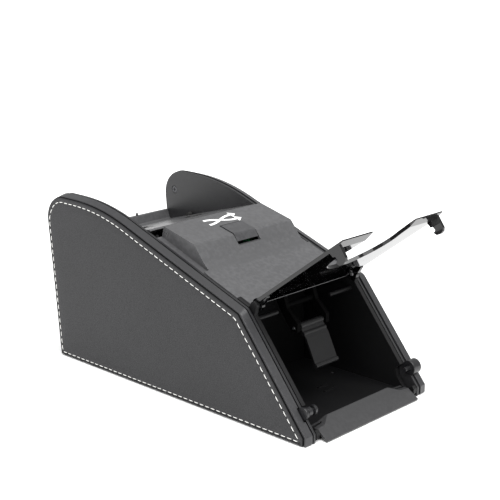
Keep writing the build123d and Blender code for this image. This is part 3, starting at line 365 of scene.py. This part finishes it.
SLOT_MATERIALS = {
    "leather": leather("leatherette"),
    "band": plastic("satin_band", (0.02, 0.02, 0.0215), 0.34),
    "body": plastic("textured_body", (0.02, 0.02, 0.022), 0.44, grain=1.5),
    # painted shade: the inside parts are darkened, with their reflections turned down, so that they sink into the
    # chamber's shade
    "inner": plastic("inner_painted_shade", (0.004, 0.004, 0.0045), 0.55, grain=1.2, specular=0.25),
    "gloss": acrylic("black_acrylic"),
    "button": plastic("button_satin", (0.033, 0.033, 0.035), 0.3, grain=0.5),
    "rubber": rubber("rubber"),
    "steel": metal("ground_steel", (0.62, 0.62, 0.63), 0.28),
    "gear": plastic("acetal", (0.68, 0.66, 0.6), 0.4, grain=0.5, worn=1.1),
    "zinc": metal("zinc_plate", (0.55, 0.56, 0.58), 0.34, (1.0, 1.0, 1.0)),
    "board": laminate("board_laminate"),
    "cell": wrapped_cell("cell_wrap"),
    "contact": metal("spring_brass", (0.72, 0.56, 0.28), 0.25),
    "can": metal("motor_steel", (0.5, 0.5, 0.51), 0.32),
}
THREAD = thread("stitch_thread")
INK = ink("white_ink")


HEAD_PLASTIC = plastic("head_satin", (0.054, 0.054, 0.056), 0.33, grain=0.8)
DARK_POST = plastic("dark_post", (0.009, 0.009, 0.01), 0.3, grain=0.6)
NODE_MATERIALS = {
    "head_cover": HEAD_PLASTIC,
    "rear_tray": HEAD_PLASTIC,
    "front_lip": plastic("lip_satin", (0.023, 0.023, 0.024), 0.36, grain=0.8),
    # lit and shaded copies of one wall plastic: the right wall's copy is painted a little lighter than the left's,
    # as painted light
    "left_inner_wall": plastic("wall_plastic", (0.009, 0.009, 0.01), 0.42, grain=1.2),
    "right_inner_wall": plastic("wall_plastic_right_painted_lighter", (0.012, 0.012, 0.013), 0.42, grain=1.2),
    "left_latch_pin": DARK_POST,
    "right_latch_pin": DARK_POST,
    "card_chamber": plastic("chamber_plastic", (0.0025, 0.0025, 0.0028), 0.5, grain=1.0, specular=0.3),
    "chamber_back": plastic("back_plastic", (0.001, 0.001, 0.0011), 0.6, grain=1.0, specular=0.15),
    "card_flap": plastic("flap_plastic", (0.0035, 0.0035, 0.0038), 0.4, grain=0.8, specular=0.3),
    # painted shade: the flap bracket is darkened almost to black, with its reflections turned down, so that it
    # sinks into the chamber's shade
    "flap_bracket": plastic("bracket_painted_shade", (0.0006, 0.0006, 0.0006), 0.7, grain=0.8, specular=0.04),
    "side_screws": metal("blackened_screw", (0.1, 0.1, 0.105), 0.4, (1.0, 1.0, 1.0)),
}


def paint_cad():
    """Give every CAD node the material of its record slot, or its own where it has one."""
    for part in frame["record"]["subparts"]:
        target = frame["nodes"][part["node"]]
        target.data.materials.clear()
        look = NODE_MATERIALS.get(part["node"], SLOT_MATERIALS[part["material_slot"]])
        target.data.materials.append(look)


# ---------------------------------------------------------------- mesh helpers
def mesh_object(name, verts, faces, look, body=BODY, smooth=True):
    mesh = bpy.data.meshes.new(name)
    mesh.from_pydata([tuple(v) for v in verts], [], faces)
    mesh.materials.append(look)
    if smooth:
        mesh.polygons.foreach_set("use_smooth", [True] * len(mesh.polygons))
    mesh.update()
    made = bpy.data.objects.new(name, mesh)
    bpy.context.scene.collection.objects.link(made)
    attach(made, body)
    return made


def outward(made):
    """Turn all faces of a closed mesh outwards."""
    work = bmesh.new()
    work.from_mesh(made.data)
    bmesh.ops.recalc_face_normals(work, faces=work.faces)
    work.to_mesh(made.data)
    work.free()


# ---------------------------------------------------------------- leather sides
def outline_edges(node_name, x):
    """Straight edges round a CAD node's flat face at x, as (point, outward normal) in (y, z)."""
    work = bmesh.new()
    work.from_mesh(frame["nodes"][node_name].data)
    bmesh.ops.remove_doubles(work, verts=work.verts, dist=1e-6)
    flat = {f for f in work.faces if all(abs(v.co.x - x) < 1e-5 for v in f.verts)}
    area = sum(f.calc_area() for f in flat)
    centre = sum((f.calc_center_median() * f.calc_area() for f in flat), Vector()) / area
    found = []
    for edge in work.edges:
        if len([f for f in edge.link_faces if f in flat]) != 1:
            continue
        a, b = (v.co for v in edge.verts)
        along = (b - a).normalized()
        normal = Vector((along.z, -along.y))
        point = Vector((a.y, a.z))
        if normal.dot(point - Vector((centre.y, centre.z))) < 0:
            normal = -normal
        found.append((point, normal, Vector((b.y, b.z))))
    work.free()
    return found, Vector((centre.y, centre.z))


def reach(edges, centre, direction, inset):
    """Distance from the centre to the outline drawn in by inset(normal), along a direction."""
    return min((normal.dot(point - centre) - inset(normal)) / normal.dot(direction)
               for point, normal, _ in edges if normal.dot(direction) > 1e-4)


def stitch_inset(normal):
    """Distance of the seam from the panel's edge: wider along the top than along the foot and rear."""
    upward = max(0.0, min(1.0, normal[1] * 1.6 + 0.2))
    return SEAM_FROM_FOOT + SEAM_EXTRA_AT_TOP * upward


def outline_directions(edges, centre):
    """Directions from the centre to every corner and edge middle, with none further apart than a step."""
    spots = [point for edge in edges for point in (edge[0], (edge[0] + edge[2]) / 2)]
    angles = sorted(math.atan2(p.y - centre.y, p.x - centre.x) for p in spots)
    directions = []
    for angle, following in zip(angles, angles[1:] + [angles[0] + 2 * math.pi]):
        if following - angle < 1e-4:
            continue
        steps = max(1, round((following - angle) / RING_STEP))
        for k in range(steps):
            turned = angle + (following - angle) * k / steps
            directions.append(Vector((math.cos(turned), math.sin(turned))))
    return directions


def leather_side(side, name, node_name):
    """Padded leather panel with a sewn channel, and its row of stitches."""
    low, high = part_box(node_name)
    x_back = high.x if side < 0 else low.x
    edges, centre = outline_edges(node_name, x_back)
    directions = outline_directions(edges, centre)
    count = len(directions)
    verts, faces = [], []

    def ring(inset, height, share=1.0):
        for direction in directions:
            place = centre + direction * reach(edges, centre, direction, inset) * share
            verts.append(Vector((x_back + side * height * MM, place.x, place.y)))

    for distance, height in LEATHER_EDGE:
        ring(lambda normal: distance * MM, height)
    for offset, height in CHANNEL:
        ring(lambda normal: stitch_inset(normal) + offset * MM, height)
    inner_offset, inner_height = CHANNEL[-1]
    for share in INNER_RINGS:
        ring(lambda normal: stitch_inset(normal) + inner_offset * MM, inner_height, share)
    rings = len(verts) // count
    for r in range(rings - 1):
        for i in range(count):
            j = (i + 1) % count
            faces.append((r * count + i, r * count + j, (r + 1) * count + j, (r + 1) * count + i))
    verts.append(Vector((x_back + side * inner_height * MM, centre.x, centre.y)))
    hub = len(verts) - 1
    last_ring = (rings - 1) * count
    faces += [(last_ring + i, last_ring + (i + 1) % count, hub) for i in range(count)]
    faces.append(tuple(reversed(range(count))))
    panel = mesh_object(f"{name}_leather_skin", verts, faces, SLOT_MATERIALS["leather"])
    outward(panel)
    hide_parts(node_name)
    seam = [centre + d * reach(edges, centre, d, stitch_inset) for d in directions]
    stitch_row(side, name, seam, x_back)


def along_seam(seam, lengths, distance):
    """Point at a distance along the closed seam."""
    distance %= sum(lengths)
    for i, length in enumerate(lengths):
        if distance <= length:
            share = distance / length if length else 0.0
            return seam[i].lerp(seam[(i + 1) % len(seam)], share)
        distance -= length
    return seam[0]


def tube_faces(base, rings, sides):
    """Faces of a closed tube whose rings of vertices follow each other from base."""
    faces = []
    for a in range(rings - 1):
        for b in range(sides):
            c = (b + 1) % sides
            near, far = base + a * sides, base + (a + 1) * sides
            faces.append((near + b, near + c, far + c, far + b))
    last = base + (rings - 1) * sides
    faces.append(tuple(base + b for b in range(sides)))
    faces.append(tuple(last + b for b in reversed(range(sides))))
    return faces


def stitch_row(side, name, seam, x_back):
    """Separate thread stitches laid end to end along a closed seam, each dipping in at its ends."""
    lengths = [(seam[(i + 1) % len(seam)] - seam[i]).length for i in range(len(seam))]
    total = sum(lengths)
    number = round(total / STITCH_PITCH)
    verts, faces = [], []
    for k in range(number):
        start = k * total / number
        faces += tube_faces(len(verts), STITCH_STEPS + 1, STITCH_SIDES)
        slant = random.uniform(-STITCH_SLANT, STITCH_SLANT)
        for a in range(STITCH_STEPS + 1):
            share = a / STITCH_STEPS
            middle = along_seam(seam, lengths, start + share * STITCH_LENGTH)
            ahead = along_seam(seam, lengths, start + share * STITCH_LENGTH + 0.4 * MM)
            tangent = (ahead - middle).normalized()
            across = Vector((-tangent.y, tangent.x))
            middle = middle + across * slant * (share - 0.5)
            swell = max(0.4, math.sin(math.pi * (0.04 + 0.92 * share)) ** 0.25)
            lift = STITCH_SEAT * math.sin(math.pi * share) ** 0.6
            for b in range(STITCH_SIDES):
                turn = 2 * math.pi * b / STITCH_SIDES
                flat = middle + across * (math.cos(turn) * STITCH_WIDTH / 2 * swell)
                depth = STITCH_BASE + lift + math.sin(turn) * STITCH_HEIGHT / 2 * swell
                verts.append(Vector((x_back + side * depth, flat.x, flat.y)))
    row = mesh_object(f"{name}_stitching", verts, faces, THREAD)
    outward(row)


# ---------------------------------------------------------------- pictogram
def ribbon(points, width, place):
    """Flat band along a line of (u, v) points, as quads lifted on to a surface by place(u, v, h)."""
    verts, faces = [], []
    for i, (u, v) in enumerate(points):
        before, after = points[max(i - 1, 0)], points[min(i + 1, len(points) - 1)]
        along = Vector((after[0] - before[0], after[1] - before[1])).normalized()
        across = Vector((-along.y, along.x)) * width / 2
        for sign, height in ((1, 0), (1, ICON_LIFT), (-1, ICON_LIFT), (-1, 0)):
            verts.append(place(u + sign * across.x, v + sign * across.y, height))
    for i in range(len(points) - 1):
        for k in range(4):
            a, b = i * 4 + k, i * 4 + (k + 1) % 4
            faces.append((a, b, b + 4, a + 4))
    faces.append((3, 2, 1, 0))
    last = (len(points) - 1) * 4
    faces.append((last, last + 1, last + 2, last + 3))
    return verts, faces


def arrow_head(tip_u, v, size, place):
    """Flat triangle that points along u, closed below."""
    corners = [(tip_u - size, v - size * 0.72), (tip_u, v), (tip_u - size, v + size * 0.72)]
    verts = [place(u, w, h) for h in (0, ICON_LIFT) for u, w in corners]
    return verts, [(0, 1, 2), (5, 4, 3), (0, 3, 4, 1), (1, 4, 5, 2), (2, 5, 3, 0)]


def pictogram():
    """Two crossing arrows printed on the flat head."""
    press = next(j for j in frame["joints"] if j["name"] == "button_press")
    normal = -Vector(press["axis"])
    downhill = Vector((0.0, -normal.z, normal.y))
    head = frame["nodes"]["head_cover"].data
    top = max(v.co.z for v in head.vertices)
    rear = max((v.co for v in head.vertices if v.co.z > top - 1e-5), key=lambda p: p.y)
    centre = Vector((ICON_X, rear.y, rear.z)) + downhill * ICON_FROM_REAR

    def place(u, v, height):
        return centre + Vector((u, 0, 0)) - downhill * v + normal * (height - ICON_SINK)

    verts, faces = [], []

    def add(piece):
        base = len(verts)
        verts.extend(piece[0])
        faces.extend(tuple(base + i for i in f) for f in piece[1])

    half = ICON_WIDTH / 2
    swing = ICON_DEPTH / 2 * 0.78
    for sign in (1, -1):
        line = []
        for k in range(ICON_STEPS + 1):
            u = -half + (ICON_WIDTH - ICON_TIP * 0.9) * k / ICON_STEPS
            ease = max(0.0, min(1.0, (u / half + 0.95) / 1.55))
            line.append((u, sign * swing * math.cos(math.pi * ease)))
        add(ribbon(line, ICON_LINE, place))
        add(arrow_head(half, -sign * swing, ICON_TIP, place))
    icon = mesh_object("head_pictogram", verts, faces, INK, smooth=False)
    outward(icon)


# ---------------------------------------------------------------- button spring
def return_spring():
    """Wound return spring in the place of the CAD spring, which it hides."""
    press = next(j for j in frame["joints"] if j["name"] == "button_press")
    down = Vector(press["axis"])
    low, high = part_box("button_spring")
    middle = (low + high) / 2
    radius = (high.x - low.x) / 2 - SPRING_WIRE
    length = (high.z - low.z) - 2 * radius * abs(down.y)
    side = Vector((1, 0, 0))
    other = down.cross(side)
    steps = SPRING_TURNS * SPRING_TURN_STEPS
    verts = []
    for k in range(steps + 1):
        angle = 2 * math.pi * SPRING_TURNS * k / steps
        axis_point = middle + down * (length * 0.9) * (k / steps - 0.5)
        out = side * math.cos(angle) + other * math.sin(angle)
        for b in range(SPRING_WIRE_SIDES):
            turn = 2 * math.pi * b / SPRING_WIRE_SIDES
            reach_out = out * (radius + SPRING_WIRE * math.cos(turn))
            verts.append(axis_point + reach_out + down * SPRING_WIRE * math.sin(turn))
    faces = tube_faces(0, steps + 1, SPRING_WIRE_SIDES)
    spring = mesh_object("wound_spring", verts, faces, SLOT_MATERIALS["steel"])
    outward(spring)
    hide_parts("button_spring")
    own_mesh(spring)


# ---------------------------------------------------------------- studio
def floor():
    """Wide pale floor, very slightly uneven in tone."""
    half = FLOOR_HALF
    verts = [(-half, -half, 0), (half, -half, 0), (half, half, 0), (-half, half, 0)]
    mesh = bpy.data.meshes.new("floor")
    mesh.from_pydata(verts, [], [(0, 1, 2, 3)])
    made, tree, shader = material("pale_floor")
    place = tree.nodes.new("ShaderNodeTexCoord")
    cloud = noise(tree, place.outputs["Object"], 2.0, 2.0)
    colour = mix_colour(tree, cloud, (0.86, 0.86, 0.86), (0.88, 0.88, 0.88))
    tree.links.new(colour, shader.inputs["Base Color"])
    shader.inputs["Roughness"].default_value = 0.7
    shader.inputs["Specular IOR Level"].default_value = 0.2
    mesh.materials.append(made)
    ground = bpy.data.objects.new("floor", mesh)
    bpy.context.scene.collection.objects.link(ground)


def sun(name, azimuth, elevation, width_degrees, strength):
    """Broad even light from a direction given in degrees; azimuth 0 is -Y, 90 is -X."""
    data = bpy.data.lights.new(name, "SUN")
    data.angle = math.radians(width_degrees)
    data.energy = strength
    lamp = bpy.data.objects.new(name, data)
    turn, rise = math.radians(azimuth), math.radians(elevation)
    towards = Vector((-math.sin(turn) * math.cos(rise), -math.cos(turn) * math.cos(rise), math.sin(rise)))
    lamp.rotation_euler = (-towards).to_track_quat("-Z", "Y").to_euler()
    bpy.context.scene.collection.objects.link(lamp)


def studio():
    """Even white surroundings and the soft suns."""
    world = bpy.data.worlds.new("studio")
    bpy.context.scene.world = world
    world.use_nodes = True
    sky = next(n for n in world.node_tree.nodes if n.type == "BACKGROUND")
    sky.inputs["Color"].default_value = (1.0, 1.0, 1.0, 1.0)
    sky.inputs["Strength"].default_value = WORLD_STRENGTH
    for name, values in SUNS.items():
        sun(name, *values)
    bpy.context.scene.view_settings.view_transform = "Standard"


def camera():
    """The camera's place, direction and lens."""
    data = bpy.data.cameras.new("camera")
    data.sensor_width = SENSOR_MM
    data.lens = LENS_MM
    eye = bpy.data.objects.new("camera", data)
    eye.location = CAMERA_AT
    eye.rotation_euler = (math.radians(90 - CAMERA_ELEVATION), 0.0, math.radians(CAMERA_AZIMUTH))
    bpy.context.scene.collection.objects.link(eye)
    bpy.context.scene.camera = eye


camera()
paint_cad()
leather_side(-1, "left", "left_leather_panel")
leather_side(1, "right", "right_leather_panel")
pictogram()
return_spring()
floor()
studio()
